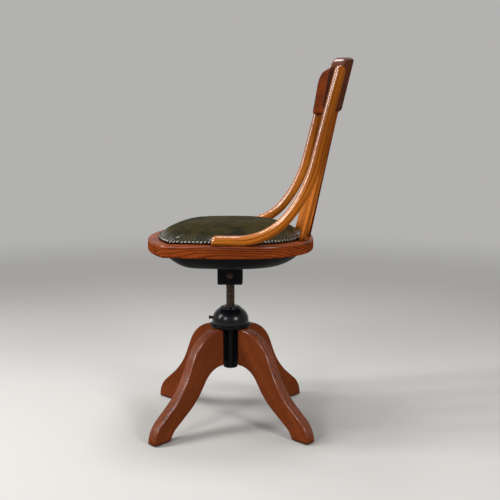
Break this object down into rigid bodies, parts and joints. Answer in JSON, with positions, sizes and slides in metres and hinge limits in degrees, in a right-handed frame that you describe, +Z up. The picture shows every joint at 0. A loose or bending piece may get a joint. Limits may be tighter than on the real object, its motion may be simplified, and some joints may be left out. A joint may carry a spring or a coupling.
{
  "type": "bankers swivel chair",
  "caption": "Oak swivel chair on a four-legged iron screw pedestal, with a nailed leather seat, bentwood stays, slats and a curved crest rail.",
  "frame": {"origin": "on the floor, on the swivel axis", "axes": "+Z up along the swivel axis; the seat faces -X; the sitter's left is -Y"},
  "size_m": [0.5002, 0.412, 0.9],
  "materials": {
    "black_iron": "gloss black japanning",
    "leg_oak": "red-brown stained oak, glossy varnish",
    "frame_oak": "red-brown stained oak, glossy varnish",
    "golden_oak": "golden oak, glossy varnish",
    "leather": "aged olive green hide, close-nailed",
    "webbing": "jute webbing",
    "screw_steel": "darkened steel",
    "fixing_steel": "aged steel screws",
    "dowel_wood": "plain beech",
    "brass": "aged brass"
  },
  "bodies": {
    "base": {"hub_casting": "black_iron", "tube_cap": "black_iron", "lug_screws": "fixing_steel", "foot_glides": "screw_steel", "leg_rear_right": "leg_oak", "leg_front_right": "leg_oak", "leg_front_left": "leg_oak", "leg_rear_left": "leg_oak", "dome_cover": "black_iron", "thrust_washer": "screw_steel"},
    "thumb_screw": {"lock_thumb_screw": "brass"},
    "nut": {"spindle_nut": "black_iron"},
    "stop": {"stop_washer": "screw_steel"},
    "seat": {"seat_bracket": "black_iron", "seat_pan": "black_iron", "seat_frame": "frame_oak", "crest_rail": "frame_oak", "stay_left": "golden_oak", "stay_right": "golden_oak", "slat_left": "golden_oak", "slat_centre": "golden_oak", "slat_right": "golden_oak", "seat_pad": "leather", "seat_webbing": "webbing", "spindle": "screw_steel", "bracket_pin": "screw_steel", "bracket_bolts": "screw_steel", "stop_pin": "screw_steel", "pan_screws": "fixing_steel", "stay_screws": "fixing_steel", "crest_dowels": "dowel_wood"}
  },
  "joints": [
    {"name": "swivel", "type": "hinge", "parent": "base", "child": "nut", "pos_m": [0, 0, 0.26], "axis": [0, 0, 1], "continuous": true},
    {"name": "seat_rise", "type": "slide", "parent": "nut", "child": "stop", "axis": [0, 0, 1], "range_m": [-0.0435, 0.039]},
    {"name": "screw_turn", "type": "hinge", "parent": "stop", "child": "seat", "pos_m": [0, 0, 0.3], "axis": [0, 0, 1], "range_deg": [-2612, 2342]},
    {"name": "lock_screw_turn", "type": "hinge", "parent": "base", "child": "thumb_screw", "pos_m": [0, 0, 0.264], "axis": [-1, 0, 0], "range_deg": [0, 630]}
  ],
  "couplings": [
    {"joint": "screw_turn", "follows": "seat_rise", "rad_per_m": 1047.2}
  ]
}
